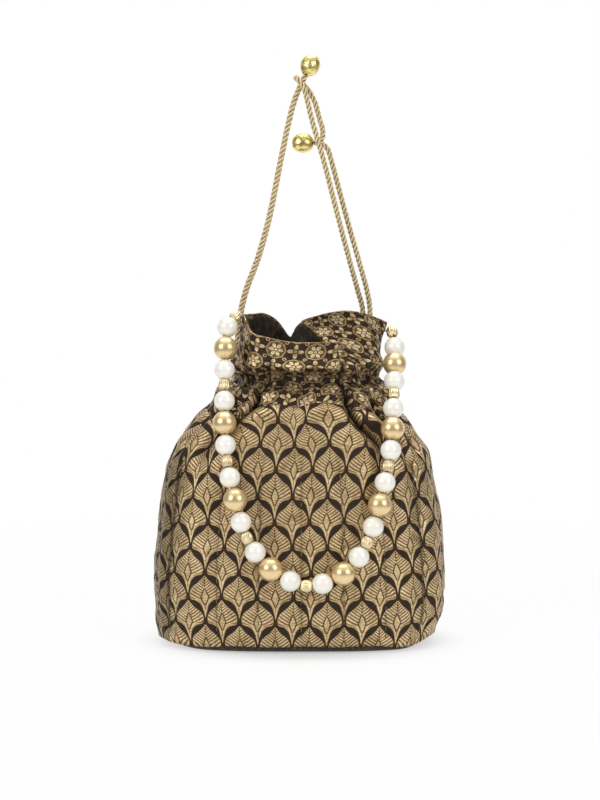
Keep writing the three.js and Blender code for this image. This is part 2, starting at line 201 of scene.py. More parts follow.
class Shade:
    """A shader socket. Sums on it add Math nodes."""

    def __init__(self, tree, socket=None):
        self.tree, self.socket = tree, socket

    def make(self, kind, values=None, out=0, **settings):
        """Any node: its type, values or sockets by input name or number, the output, and its settings."""
        node = self.tree.nodes.new(kind)
        for name, value in settings.items():
            if name == "stops":
                while len(node.color_ramp.elements) < len(value):
                    node.color_ramp.elements.new(1)
                for element, (place, colour) in zip(node.color_ramp.elements, value):
                    element.position, element.color = place, colour
            elif name == "curve":
                line = node.mapping.curves[0]
                while len(line.points) < len(value):
                    line.points.new(.5, .5)
                for point, place in zip(line.points, value):
                    point.location = place
                node.mapping.update()
            else:
                setattr(node, name, value)
        for key, value in (values or {}).items():
            if isinstance(value, Shade):
                self.tree.links.new(value.socket, node.inputs[key])
            else:
                node.inputs[key].default_value = value
        return Shade(self.tree, node.outputs[out])

    def math(self, operation, *others):
        return self.make("ShaderNodeMath", dict(enumerate((self,) + others)), operation=operation)

    def __add__(self, other):
        return self.math("ADD", other)

    def __sub__(self, other):
        return self.math("SUBTRACT", other)

    def __mul__(self, other):
        return self.math("MULTIPLY", other)

    def __truediv__(self, other):
        return self.math("DIVIDE", other)

    def __rsub__(self, other):
        return (self * -1) + other

    __radd__ = __add__
    __rmul__ = __mul__

    def step(self, low, high):
        """0 at low, 1 at high, smooth between. Low may be the larger."""
        return self.make("ShaderNodeMapRange", {0: self, 1: low, 2: high}, interpolation_type="SMOOTHSTEP")

    def size(self):
        return self.math("ABSOLUTE")

    def larger(self, other):
        return self.math("MAXIMUM", other)

    def smaller(self, other):
        return self.math("MINIMUM", other)

    def wrapped(self, period):
        """Repeats from minus half a period to plus half a period."""
        return self.math("WRAP", period / 2, -period / 2)

    def mixed(self, one, two):
        """Colour one where this is 0, colour two where it is 1."""
        return self.make("ShaderNodeMix", {0: self, 6: one, 7: two}, out=2, data_type="RGBA")

    def wave(self, period):
        """A sine wave with the period given."""
        return (self * (2 * math.pi / period)).math("SINE")

    def stretched(self, by):
        """A vector with each of its numbers multiplied by its own factor."""
        return self.make("ShaderNodeVectorMath", {0: self, 1: by}, operation="MULTIPLY")

    def parts(self):
        """The three numbers of a vector."""
        split = self.make("ShaderNodeSeparateXYZ", {0: self}).socket.node
        return [Shade(self.tree, plug) for plug in split.outputs]

    def noise(self, vector, scale, detail=2.0):
        return self.make("ShaderNodeTexNoise", {"Vector": vector, "Scale": scale, "Detail": detail})

    def relief(self, strength):
        """A bump whose height is this, in millimetres."""
        return self.make("ShaderNodeBump", {"Strength": strength, "Distance": MM, "Height": self})

    def marked(self, name):
        """A number that the mesh holds for each of its points."""
        return self.make("ShaderNodeAttribute", attribute_name=name, out=2)


def finish_of(name):
    """A new material: itself, its main shader node and a Shade to build on."""
    material = bpy.data.materials.new(name)
    material.use_nodes = True
    main = material.node_tree.nodes["Principled BSDF"]
    return material, main, Shade(material.node_tree)


def feed(main, **sockets):
    """Links shades, or sets plain values, on the main shader. Names use _ for a space."""
    for name, value in sockets.items():
        plug = main.inputs[name.replace("_", " ")]
        if isinstance(value, Shade):
            value.tree.links.new(value.socket, plug)
        else:
            plug.default_value = value


def flat_cloth(shade):
    """Millimetres across and up the flat cloth, and both as one vector."""
    across, up, _ = shade.make("ShaderNodeUVMap", uv_map="cloth").parts()
    across, up = across * 1000, up * 1000
    return across, up, shade.make("ShaderNodeCombineXYZ", {0: across, 1: up})


DARK_LINE = srgb(58, 41, 25)
DULL_GOLD = srgb(138, 109, 70)
BRIGHT_GOLD = srgb(188, 160, 114)
PALE_GOLD = srgb(238, 218, 176)
REDDER = (1.04, .9, .82, 1)
# Near-black of the painted shade in creases, seams and the neck's groove
PAINTED_SHADE_COLOUR = srgb(16, 10, 7)
WEAVE = .62            # from one thread of the brocade to the next


def woven(shade, main, across, up, flat, gold, tone, ground_low, ground_high, outline=None):
    """Colour, gloss and relief of brocade: where it is gold, how bright, its outlined ground, and painted
    shade where the mesh marks it.
    """
    cloudy = shade.noise(flat, .12, 3)
    streak = shade.noise(flat.stretched((.25, 2.2, 0)), 1)
    grain = shade.noise(flat, 1, 2)
    tone = tone * .86 + (cloudy - .5) * .5 + (streak - .5) * .7 + (grain - .5) * .8 + .07
    metal = shade.make("ShaderNodeValToRGB", {0: tone}, stops=[
        (0, DARK_LINE), (.4, DULL_GOLD), (.75, BRIGHT_GOLD), (1, PALE_GOLD)])
    reddish = shade.noise(flat, .62, 2).step(.44, .62) * .3
    metal = shade.make("ShaderNodeMix", {0: reddish, 6: metal, 7: REDDER}, out=2, data_type="RGBA",
                       blend_type="MULTIPLY")
    ground = (streak * .9 + cloudy * .4).step(.3, 1.1).mixed(ground_low, ground_high)
    if outline is not None:
        ground = outline.mixed(ground, DARK_LINE)
    threads = up.wave(WEAVE) * across.wave(WEAVE)
    height = gold * .16 + gold * tone * .16 + threads * .012 + (streak - .5) * .09
    # Painted shade: numbers that the mesh holds for its points darken the colour towards near-black in
    # creases, seams and grooves
    colour = shade.marked("fold").mixed(gold.mixed(ground, metal), PAINTED_SHADE_COLOUR)
    feed(main, Base_Color=colour, Metallic=gold * (.28 + tone * .36).smaller(.66),
         Roughness=.62 - gold * .2 - (streak - .5) * .3, Normal=height.relief(.9), Specular_IOR_Level=.2)


LEAF_ACROSS = 541.18 / 23
LEAF_UP = 17.1
LEAF_SHIFT = (11.1, -14.6)
# A leaf from its tip, at height 0, down to its stem: half its width by height,
# and its lower edge by distance from the middle
LEAF_OUTLINE = [
    (-34, 0), (-31.5, 0), (-30.3, .38), (-28.8, .75), (-27, 1.1), (-24.5, 1.75), (-22.8, 2.3),
    (-21.1, 3), (-19.7, 4.05), (-18.5, 5.4), (-17.9, 6.8), (-17.5, 8.6), (-17.1, 9.6), (-16.5, 10.25),
    (-15.6, 10.6), (-13.9, 10.8), (-12.1, 10.6), (-10.1, 9.85), (-8.4, 8.55), (-7, 7), (-5.7, 5.25),
    (-4.3, 3.75), (-2.8, 2.4), (-1.1, 1), (0, 0), (1.2, 0),
]
LEAF_UNDER = [
    (0, -31.5), (.38, -30.3), (.75, -28.8), (1.1, -27), (1.75, -24.5), (2.3, -22.8), (3, -21.1),
    (4.05, -19.7), (5.4, -18.5), (6.8, -17.9), (8.6, -17.5), (9.6, -17.1), (10.25, -16.5),
    (10.8, -13.9), (12, -12.5),
]
LEAF_LOW, LEAF_TALL, LEAF_HALF = -34, 35.2, 12
UNDER_LOW, UNDER_TALL = -32, 20
HATCH = 1.9            # from one line of a leaf's hatching to the next
BUD_MIDDLE, BUD_TALL, BUD_HALF = -15.6, 6.1, 2.55


def leaf(across, up):
    """One set of leaves, repeated across and up: where they are gold, how bright, and where outlined."""
    x = across.wrapped(LEAF_ACROSS).size()
    y = (up + 16).wrapped(2 * LEAF_UP) - 16
    curve = [((height - LEAF_LOW) / LEAF_TALL, half / LEAF_HALF) for height, half in LEAF_OUTLINE]
    half = x.make("ShaderNodeFloatCurve", {"Value": (y - LEAF_LOW) / LEAF_TALL}, curve=curve) * LEAF_HALF
    curve = [(far / LEAF_HALF, (height - UNDER_LOW) / UNDER_TALL) for far, height in LEAF_UNDER]
    lower = x.make("ShaderNodeFloatCurve", {"Value": x / LEAF_HALF}, curve=curve) * UNDER_TALL + UNDER_LOW
    under = y - lower
    edge = half - x
    gold = edge.step(.14, .5) * under.step(0, .4)
    hatch = (y - x * (y * .035 + .95)).wave(HATCH).step(-.8, .15)
    hatch = hatch.larger((y + 17).step(.6, -.8)) * .82 + .14
    border = edge.step(.85, .6).larger(under.step(1.45, 1.15))
    tone = border.make("ShaderNodeMix", {0: border, 2: hatch, 3: .8})
    lines = (under - 1.6).size().step(.34, .14) * x.step(1.3, 2.4) * .6
    lines = lines.larger(x.step(.45, .18) * (y + 5.4).size().step(4, 3.2) * .8)
    lines = lines.larger(x.step(.4, .15) * (y + 22.6).size().step(2.6, 2) * .7)
    from_bud = (y - BUD_MIDDLE).size()
    bud = (1 - from_bud / BUD_TALL).larger(0).math("POWER", .8) * BUD_HALF - x
    inside = bud.step(0, .2)
    tone = inside.make("ShaderNodeMix", {0: inside, 2: tone, 3: .88})
    lines = (lines * (1 - inside)).larger(bud.size().step(.7, .3) * from_bud.step(6.3, 5.8))
    outside = edge.larger(under - under.math("GREATER_THAN", 0) * 100)
    return gold, tone * (1 - lines * .85), outside.step(-1.5, -.3)


def leaf_brocade():
    """Rows of gold leaves on a dark ground, each row shifted by half a leaf."""
    material, main, shade = finish_of("leaf_brocade")
    across, up, flat = flat_cloth(shade)
    one, one_tone, one_line = leaf(across + LEAF_SHIFT[0], up + LEAF_SHIFT[1])
    two, two_tone, two_line = leaf(across + LEAF_SHIFT[0] + LEAF_ACROSS / 2, up + LEAF_SHIFT[1] + LEAF_UP)
    woven(shade, main, across, up, flat, one.larger(two), one * one_tone + (1 - one) * two * two_tone,
          srgb(36, 27, 23), srgb(58, 46, 38), one_line.larger(two_line))
    return material


FLOWER_ACROSS = 13.6
FLOWER_UP = 11.4
FLOWER_SHIFT = (13.5, 6.8)


def floral_brocade():
    """A chequer of ringed rosettes and small four-petal flowers, with eyelets between them and a gold hem."""
    material, main, shade = finish_of("floral_brocade")
    across, up, flat = flat_cloth(shade)
    side = across - (RIM_ALONG[-1] - FLOWER_SHIFT[0])
    high = (up + FLOWER_SHIFT[1]) * (FLOWER_ACROSS / FLOWER_UP)

    def polar(x, y):
        return (x * x + y * y).math("SQRT"), y.math("ARCTAN2", x)

    def rosette(x, y):
        far, turn = polar(x, y)
        scallop = (turn * 8).math("COSINE") * .2
        ring = (far - 6.6 - scallop).size().step(.75, .45)
        beads = ((far - 5.75).size().step(.42, .2)) * (turn * 24).math("SINE").step(-.5, .3)
        petal = (turn * 6).math("COSINE") * .5 + .5
        petals = far.step(1.45, 1.75) * (far - 3.3 - petal * 1.9).step(.25, 0)
        seam = (turn * 6).math("COSINE").step(-.6, -.85) * far.step(1.4, 2)
        vein = ((turn * 6).math("SINE").size().step(.3, .12) * (turn * 6).math("COSINE").step(0, .2)
                * far.step(2.4, 2.8) * far.step(4.6, 4.2))
        heart = far.step(1.15, .9)
        field = far.step(6.4, 6) * .4
        gold = ring.larger(petals * (1 - seam)).larger(heart).larger(beads * .8).larger(field)
        return gold, gold * (.66 + far.step(6, 4.6) * .42) * (1 - vein * .75)

    def four_petals(x, y):
        far, turn = polar(x, y)
        petal = (turn * 4).math("COSINE") * .5 + .5
        shape = (far - 2 - petal * 3.5).step(.3, 0)
        gap = (turn * 4).math("COSINE").step(-.55, -.9) * far.step(1, 2)
        cut = (far - 1.5).size().step(.35, .15).larger(gap)
        gold = shape * (1 - cut)
        return gold, gold * (.66 + far.step(1, 5) * .34)

    def eyelet(x, y):
        far, _ = polar(x, y)
        gold = (far - 1.1).size().step(.5, .25)
        return gold, gold * .85

    pieces = []
    for shift in (0, 1):
        x = (side + shift * FLOWER_ACROSS).wrapped(2 * FLOWER_ACROSS)
        near = high.wrapped(2 * FLOWER_ACROSS)
        next_row = (high + FLOWER_ACROSS).wrapped(2 * FLOWER_ACROSS)
        pieces.append(rosette(x, next_row if shift else near))
        pieces.append(four_petals(x, near if shift else next_row))
    pieces.append(eyelet((side + FLOWER_ACROSS / 2).wrapped(FLOWER_ACROSS),
                         (high + FLOWER_ACROSS / 2).wrapped(FLOWER_ACROSS)))
    dots = (across.wave(1.9) * up.wave(1.9)).step(.3, .7) * .5
    pieces.append((dots, dots * .8))
    hem = up.step(-.9, -.6).larger(shade.marked("slit").step(.9, .6) * up.step(-22, -16))
    pieces.append((hem, hem * .5))
    gold, tone = pieces[0]
    for more, more_tone in pieces[1:]:
        gold, tone = gold.larger(more), tone.larger(more_tone)
    woven(shade, main, across, up, flat, gold, tone, srgb(27, 19, 14), srgb(48, 37, 29))
    return material


def rope_finish():
    """Twisted beige and gold yarn, with painted shade in the grooves between its strands."""
    material, main, shade = finish_of("rope")
    round_strand, along, _ = shade.make("ShaderNodeUVMap", uv_map="yarn").parts()
    along = along * 1000
    yarn = shade.noise(shade.make("ShaderNodeCombineXYZ", {0: round_strand * 14, 1: along * .35}), 1, 3)
    fibre = (round_strand * 9 + along * .55).wave(1)
    # Painted shade: the yarn's colour darkens towards the rope's middle, in the grooves between strands
    light = shade.marked("groove").step(.5, .98) * .86 + (yarn - .5) * .55 + fibre * .06 + .12
    colour = shade.make("ShaderNodeValToRGB", {0: light}, stops=[
        (0, srgb(46, 34, 17)), (.35, srgb(110, 88, 52)), (.7, srgb(194, 168, 118)), (1, srgb(240, 222, 176))])
    feed(main, Base_Color=colour, Roughness=.5 - (yarn - .5) * .2, Metallic=light.step(.4, 1) * .18,
         Normal=(fibre * .05 + yarn * .12).relief(.6), Sheen_Weight=.1)
    return material


def black_cloth():
    """Plain black lining with a fine weave."""
    material, main, shade = finish_of("black_cloth")
    place = shade.make("ShaderNodeTexCoord", out=3)
    x, y, z = (part.wave(.0007) for part in place.parts())
    slub = shade.noise(place, 900, 2)
    glint = shade.noise(place.stretched((1, 1, .25)), 500, 3)
    light = slub.step(.3, .8) * .4 + glint.step(.46, .68)
    feed(main, Base_Color=light.mixed(srgb(19, 15, 13), srgb(80, 64, 42)), Roughness=.66,
         Normal=((x * z + y * z) * .02 + slub * .06).relief(.5), Sheen_Weight=.06)
    return material


def flecked(name, colours, scale, rough, rough_by=0, detail=3, edges=(.3, .7), **more):
    """A finish of two near colours in fine flecks, its gloss changing a little with them."""
    material, main, shade = finish_of(name)
    fleck = shade.noise(shade.make("ShaderNodeTexCoord", out=3), scale, detail)
    low, high = (srgb(*colour) for colour in colours)
    feed(main, Base_Color=fleck.step(*edges).mixed(low, high),
         Roughness=rough + (fleck - .5) * rough_by if rough_by else rough, **more)
    return material


def plated(name, colours, rough):
    """Bright metal with a little unevenness."""
    return flecked(name, colours, scale=350, rough=rough, rough_by=.1, Metallic=1.0)


def sewing_thread(name, colours):
    """Thread, with flecks as fine as its plies."""
    return flecked(name, colours, scale=1600, detail=2, rough=.55, rough_by=.2)


FINISHES = {
    "leaf": leaf_brocade(),
    "floral": floral_brocade(),
    "rope": rope_finish(),
    "pearl": flecked("pearl", [(255, 249, 235), (255, 254, 247)], scale=160, edges=(.3, .75), rough=.3,
                     rough_by=.1, Coat_Weight=1, Coat_Roughness=.05, Coat_IOR=1.6, Subsurface_Weight=.06,
                     Subsurface_Radius=(.002, .0018, .0015)),
    "ball": flecked("satin_gold", [(240, 212, 158), (246, 220, 168)], scale=220, rough=.31, rough_by=.06,
                    Metallic=.74, Coat_Weight=.4, Coat_Roughness=.2),
    "spacer": plated("ridged_gold", [(246, 222, 174), (255, 238, 198)], .34),
    "hammered": plated("hammered_gold", [(250, 222, 134), (255, 242, 172)], .26),
    "black": black_cloth(),
    "thread": sewing_thread("thread", [(58, 46, 34), (92, 76, 56)]),
    "stitch": sewing_thread("quilting_thread", [(84, 66, 42), (140, 116, 76)]),
    "card": flecked("card", [(120, 108, 92), (150, 138, 120)], scale=500, detail=4, edges=(.35, .7),
                    rough=.9),
}


def add_mesh(name, points, faces, finish, uv=None, uv_name="cloth", smooth_faces=True):
    """A new object from points in millimetres. uv holds one pair of metres for each point."""
    mesh = bpy.data.meshes.new(name)
    mesh.from_pydata((np.asarray(points) * MM).tolist(), [], [list(f) for f in faces])
    if uv is not None:
        layer = mesh.uv_layers.new(name=uv_name)
        corners = np.empty(len(mesh.loops), int)
        mesh.loops.foreach_get("vertex_index", corners)
        layer.data.foreach_set("uv", np.asarray(uv, float)[corners].ravel())
    if smooth_faces:
        mesh.shade_smooth()
    mesh.materials.append(finish)
    obj = bpy.data.objects.new(name, mesh)
    bpy.context.collection.objects.link(obj)
    return obj


def thicken(sheet, thick):
    """Gives a sheet of cloth or card its thickness, inward."""
    wall = sheet.modifiers.new("thickness", "SOLIDIFY")
    wall.thickness = thick * MM
    wall.offset = -1


def mark(obj, name, values):
    """One number for each point of a mesh, for its material to read."""
    layer = obj.data.attributes.new(name, "FLOAT", "POINT")
    layer.data.foreach_set("value", np.ravel(values))


def grid_faces(rows, columns, start=0):
    """Four-sided faces of a grid of points, row after row."""
    corner = start + (np.arange(rows - 1)[:, None] * columns + np.arange(columns - 1)).ravel()
    return np.stack([corner, corner + 1, corner + columns + 1, corner + columns], axis=1).tolist()


# Camera
LENS = 111.7
CAMERA_AT = Vector((0, -1.7, .3))
CAMERA_AIM = Vector((0, 0, .166))


def facing(place, aim):
    """The turn of a camera or lamp at a place that looks at its aim."""
    return (Vector(aim) - Vector(place)).to_track_quat("-Z", "Y").to_euler()


def camera():
    """The view of the photograph."""
    data = bpy.data.cameras.new("camera")
    data.sensor_fit = "AUTO"
    data.sensor_width = 36
    data.lens = LENS
    seat = bpy.data.objects.new("camera", data)
    seat.location = CAMERA_AT
    seat.rotation_euler = facing(CAMERA_AT, CAMERA_AIM)
    bpy.context.collection.objects.link(seat)
    bpy.context.scene.camera = seat


camera()


# Drawstrings
def frames_along(line):
    """Directions along a line and two square to it that turn no more than they must."""
    along = np.gradient(line, axis=0)
    along /= np.linalg.norm(along, axis=1)[:, None]
    side = np.cross(along[0], (0, 1, 0) if abs(along[0][1]) < .9 else (1, 0, 0))
    sides = []
    for direction in along:
        side = side - direction * np.dot(side, direction)
        side /= np.linalg.norm(side)
        sides.append(side)
    sides = np.array(sides)
    return along, sides, np.cross(along, sides)


def drawstring_line(start_end, exit_angle, ring, finish_end):
    """A drawstring's middle line: down from its bead, round the neck in the casing, and back up."""
    def wall(degrees, rise, inset):
        return on_bag(exit_angle + degrees, ring + rise, inset).tolist()

    def out(side):
        return [wall(side * IN_SLOT, .5, .5), wall(side * OUT_OF_SLOT, 4, -3)]
    ring_points = [wall(RING_END + (360 - 2 * RING_END) * k / 16, 0, ROPE_RING_DEPTH) for k in range(17)]
    return centripetal(start_end[::-1] + out(1)[::-1] + ring_points + out(-1) + finish_end)


STRANDS = 3
LAY = 10.6             # length of one whole turn of a strand
STRAND_OFF = 1.06      # from the rope's middle to a strand's
STRAND_RADIUS = .94
STRAND_SIDES = 10
ROPE_STEP, PATH_STEP = .9, 3


def drawstring(name, line, node):
    """Three strands twisted round the drawstring's line."""
    line = even_points(line, ROPE_STEP)
    along, side, other = frames_along(line)
    travelled = lengths_along(line)
    points, uv, groove, faces = [], [], [], []
    for strand in range(STRANDS):
        turn = 2 * math.pi * (travelled / LAY + strand / STRANDS)
        outward = np.cos(turn)[:, None] * side + np.sin(turn)[:, None] * other
        around = np.cross(along, outward)
        lean = 2 * math.pi * STRAND_OFF / LAY
        forward = along + around * lean
        forward /= np.linalg.norm(forward, axis=1)[:, None]
        square = np.cross(forward, outward)
        ring = 2 * np.pi * np.arange(STRAND_SIDES + 1) / STRAND_SIDES
        centre = line + outward * STRAND_OFF
        tube = (centre[:, None] + STRAND_RADIUS * (np.cos(ring)[None, :, None] * outward[:, None]
                                                   + np.sin(ring)[None, :, None] * square[:, None]))
        first = sum(len(p) for p in points)
        points.append(tube.reshape(-1, 3))
        flat = np.broadcast_arrays(ring[None] / (2 * np.pi), travelled[:, None] * MM)
        uv.append(np.stack(flat, -1).reshape(-1, 2))
        # How near each point lies to the rope's middle, which sets the painted shade in the grooves between
        # strands
        far = np.linalg.norm(tube - line[:, None], axis=2) / (STRAND_OFF + STRAND_RADIUS)
        groove.append(far.ravel())
        faces += grid_faces(len(line), STRAND_SIDES + 1, first)
        faces.append(list(range(first + STRAND_SIDES - 1, first - 1, -1)))
        last = first + (len(line) - 1) * (STRAND_SIDES + 1)
        faces.append(list(range(last, last + STRAND_SIDES)))
    rope = add_mesh(name, np.vstack(points), faces, FINISHES["rope"], np.vstack(uv), "yarn")
    mark(rope, "groove", np.concatenate(groove))
    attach(rope, "bag")
    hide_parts(node)
    return rope


def middle(node):
    """A CAD node's middle, in millimetres."""
    low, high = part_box(node)
    return np.array((Vector(low) + Vector(high)) / 2) / MM


def lathe(profile, sides, shape=None):
    """Points and faces of a ring turned about Z, from a closed line of radius and height."""
    profile = np.asarray(profile, float)
    turn = 2 * np.pi * np.arange(sides) / sides
    radius = np.repeat(profile[:, None, 0], sides, 1)
    height = np.repeat(profile[:, None, 1], sides, 1)
    if shape is not None:
        radius, height = shape(radius, height, turn[None])
    points = np.stack([radius * np.cos(turn), radius * np.sin(turn), height], -1).reshape(-1, 3)
    count = len(profile)
    faces = []
    for k in range(count):
        for s in range(sides):
            a, b = k * sides + s, k * sides + (s + 1) % sides
            c, d = ((k + 1) % count) * sides + (s + 1) % sides, ((k + 1) % count) * sides + s
            faces.append((a, b, c, d))
    return points, faces


def bead_profile(radius, length, bore, steps):
    """A rounded bead with a hole: its outside from bottom to top, then back down the hole."""
    start = math.asin(min(.98, (bore + .35) / radius))
    turn = np.linspace(start, np.pi - start, steps)
    outside = np.stack([radius * np.sin(turn), -length / 2 * np.cos(turn) / math.cos(start)], axis=1)
    return np.vstack([outside, [[bore, length / 2 - .35], [bore, 0], [bore, -length / 2 + .35]]])


HOLLOWS = 70           # hammered into an end bead
HOLLOW_DEEP, HOLLOW_WIDE = .42, .36
GOLDEN_TURN = 2.39996  # from one hollow to the next, which spreads them evenly


def end_bead(name, node, axis):
    """A drawstring's gold bead, hammered all over with small hollows."""
    rng = random.Random(name)
    hollows = []
    for k in range(HOLLOWS):
        height = 1 - 2 * (k + .5) / HOLLOWS
        turn = k * GOLDEN_TURN + rng.uniform(-.25, .25)
        flat = math.sqrt(1 - height * height)
        hollows.append((flat * math.cos(turn), flat * math.sin(turn), height))
    hollows = np.array(hollows)

    def hammered(radius, height, turn):
        place = np.stack([radius * np.cos(turn), radius * np.sin(turn), height + 0 * turn], -1)
        far = np.linalg.norm(place, axis=-1)
        unit = place / far[..., None]
        near = np.min(np.linalg.norm(unit[..., None, :] - hollows, axis=-1), axis=-1)
        dent = (far > 5) * HOLLOW_DEEP * np.clip(1 - (near / HOLLOW_WIDE) ** 2, 0, 1)
        return radius * (1 - dent / far), height * (1 - dent / far)
    points, faces = lathe(bead_profile(7, 15, 2.2, 40), 64, hammered)
    turn = Vector((0, 0, 1)).rotation_difference(Vector(axis)).to_matrix()
    points = points @ np.array(turn).T + middle(node)
    bead = add_mesh(name, points, faces, FINISHES["hammered"])
    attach(bead, "bag")
    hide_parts(node)
    return bead


top_bead = end_bead("top_bead", "top_end_bead", (.4, 0, .92))
lower_bead = end_bead("lower_bead", "lower_end_bead", (1, 0, 0))
drawstring("left_rope", drawstring_line(LEFT_ROPE_FRONT, LEFT_EXIT, LEFT_RING, LEFT_ROPE_BACK),
           "left_drawstring")
drawstring("right_rope", drawstring_line(RIGHT_ROPE_INNER, RIGHT_EXIT, RIGHT_RING, RIGHT_ROPE_OUTER),
           "right_drawstring")


# Repeats along a line or over a surface
def repeater():
    """A tree that puts one shape on every point, turned to the point's own directions."""
    tree = bpy.data.node_groups.new("one_shape_on_each_point", "GeometryNodeTree")
    face = tree.interface
    face.new_socket("Points", in_out="INPUT", socket_type="NodeSocketGeometry")
    face.new_socket("Shape", in_out="INPUT", socket_type="NodeSocketObject")
    face.new_socket("Finish", in_out="INPUT", socket_type="NodeSocketMaterial")
    face.new_socket("Mesh", in_out="OUTPUT", socket_type="NodeSocketGeometry")
    new, link = tree.nodes.new, tree.links.new
    start, end = new("NodeGroupInput"), new("NodeGroupOutput")
    shape = new("GeometryNodeObjectInfo")
    link(start.outputs["Shape"], shape.inputs["Object"])
    turned = None
    for attribute, axis, pivot in (("along", "Z", "AUTO"), ("outward", "X", "Z")):
        direction = new("GeometryNodeInputNamedAttribute")
        direction.data_type = "FLOAT_VECTOR"
        direction.inputs["Name"].default_value = attribute
        align = new("FunctionNodeAlignRotationToVector")
        align.axis, align.pivot_axis = axis, pivot
        link(direction.outputs["Attribute"], align.inputs["Vector"])
        if turned is not None:
            link(turned, align.inputs["Rotation"])
        turned = align.outputs["Rotation"]
    kinds = ("InstanceOnPoints", "RealizeInstances", "SetMaterial")
    place, real, paint = (new("GeometryNode" + kind) for kind in kinds)
    link(start.outputs["Points"], place.inputs["Points"])
    link(shape.outputs["Geometry"], place.inputs["Instance"])
    link(turned, place.inputs["Rotation"])
    link(place.outputs["Instances"], real.inputs["Geometry"])
    link(real.outputs["Geometry"], paint.inputs["Geometry"])
    link(start.outputs["Finish"], paint.inputs["Material"])
    link(paint.outputs["Geometry"], end.inputs["Mesh"])
    return tree


REPEATER = repeater()


def repeat(name, shape, places, along, outward, finish):
    """A plain mesh with the shape at every place. The shape's Z follows along, and its X outward."""
    points = add_mesh(name, places, [], finish, smooth_faces=False)
    for attribute, values in (("along", along), ("outward", outward)):
        layer = points.data.attributes.new(attribute, "FLOAT_VECTOR", "POINT")
        layer.data.foreach_set("vector", np.asarray(values, float).ravel())
    master = add_mesh(name + "_shape", *shape, finish)
    maker = points.modifiers.new("repeat", "NODES")
    maker.node_group = REPEATER
    wanted = {"Shape": master, "Finish": finish}
    for item in REPEATER.interface.items_tree:
        if item.name in wanted and item.in_out == "INPUT":
            maker[item.identifier] = wanted[item.name]
    graph = bpy.context.evaluated_depsgraph_get()
    made = bpy.data.meshes.new_from_object(points.evaluated_get(graph))
    points.modifiers.clear()
    points.data = made
    made.shade_smooth()
    for extra in ("along", "outward"):
        if extra in made.attributes:
            made.attributes.remove(made.attributes[extra])
    bpy.data.objects.remove(master)
    return points


# Handle
PEARL, BALL, SPACER = 7, 8, 4   # radii
PEARLS = 16


def handle():
    """The pearls, gold balls and ridged spacers, at the places of their CAD nodes."""
    order = [n for k in range(8) for n in (
        f"spacer_{k + 1:02d}", f"pearl_{2 * k + 1:02d}", f"gold_bead_{k + 1:02d}", f"pearl_{2 * k + 2:02d}")]
    order.append("spacer_09")
    places = np.array([middle(node) for node in order])
    along, side, _ = frames_along(places)

    def fluted(radius, height, turn):
        rib = np.abs(np.cos(turn * 7)) ** .8
        outside = np.clip((radius - 2.5) / 1.2, 0, 1)
        return radius - outside * .5 * (1 - rib), height
    kinds = (
        ("pearls", "pearl", bead_profile(PEARL, 2 * PEARL, .8, 27), None, 40, "pearl", "pearl"),
        ("gold_balls", "gold_bead", bead_profile(BALL, 2 * BALL, .8, 29), None, 44, "ball", "satin_gold"),
        ("ridged_spacers", "spacer", bead_profile(SPACER, 7.5, 2.4, 15), fluted, 84, "spacer", "ridged_gold"),
    )
    for name, start, profile, change, sides, finish, slot in kinds:
        chosen = [k for k, node in enumerate(order) if node.startswith(start + "_")]
        shape = lathe(profile, sides, change)
        beads = repeat(name, shape, places[chosen], along[chosen], side[chosen], FINISHES[finish])
        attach(beads, "handle")
        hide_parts(*[order[k] for k in chosen])


handle()


# Cloth
BROCADE, LINING = 1.2, .5   # thickness
CLEAR = .5                  # between the cloth and the pearls that lie on it


def seeded_noise(points, scale, seed):
    """Smooth random numbers from -1 to 1 at points in millimetres."""
    shift = Vector((seed * 17.3, seed * 9.1, seed * 5.7))
    flat = np.asarray(points).reshape(-1, 3)
    values = [noise.noise(Vector(p) / scale + shift) for p in flat.tolist()]
    return np.array(values).reshape(np.asarray(points).shape[:-1])


def belly_angles(columns):
    """Angles that divide the belly into equal lengths of cloth, and the whole length."""
    fine = np.linspace(0, 360, 7201)
    along = lengths_along(on_bag(fine, BELLY))
    return np.interp(np.linspace(0, along[-1], columns), along, fine), along[-1]


# Creases of the gathered neck: direction, how deep against the others, and turn as they run down
CREASES = np.array([
    [10, .9, 0], [33, 1.1, 0], [54, .8, 0], [72, 1.2, 0], [90, .8, 0], [108, 1.1, 0], [127, .9, 0],
    [149, 1.2, 0], [177, .8, 0], [205, 1, -3], [235, 1.4, -7], [263, .25, 0], [289, 1.8, 13],
    [308, .9, 9], [328, 1.1, 4], [348, 1, 0],
])
# Height of the seam between the body and the top band, by direction
SEAM = [
    (0, 160), (30, 163), (60, 166), (90, 167), (120, 166), (150, 162), (180, 159), (207, 157),
    (229, 157.5), (241, 162), (255, 165.5), (280, 165.5), (290, 163), (300, 158), (318, 156.5),
    (340, 158),
]


def turned_up(points):
    """The ends of the bag's foot, lifted a little from the floor, the right one also rounded in."""
    raised = np.array(points, float)
    side, height = np.array(raised[..., 0]), np.array(raised[..., 2])
    most, power = np.where(side > 0, 6.2, 3.4), np.where(side > 0, 2, 1.4)
    raised[..., 2] += smooth(60, 97, np.abs(side)) ** power * most * (1 - smooth(4, 30, height))
    raised[..., 0] -= smooth(62, 99, side) * 4.2 * (1 - smooth(2, 36, height))
    return raised


def between_creases(angle, height, creases=CREASES):
    """For places on the bag: the direction, the creases before and after it, and how deep these two are."""
    angle, height = np.broadcast_arrays(np.asarray(angle, float), np.asarray(height, float))
    starts = creases[:, 0] + creases[:, 2] * smooth(160, 136, height)[..., None]
    ends = np.concatenate([starts[..., 1:], starts[..., :1] + 360], axis=-1)
    a = (angle - starts[..., 0]) % 360 + starts[..., 0]
    k = np.sum(a[..., None] >= starts, axis=-1) - 1
    before, after = (np.take_along_axis(places, k[..., None], -1)[..., 0] for places in (starts, ends))
    return a, before, after, creases[k, 1], np.roll(creases[:, 1], -1)[k]


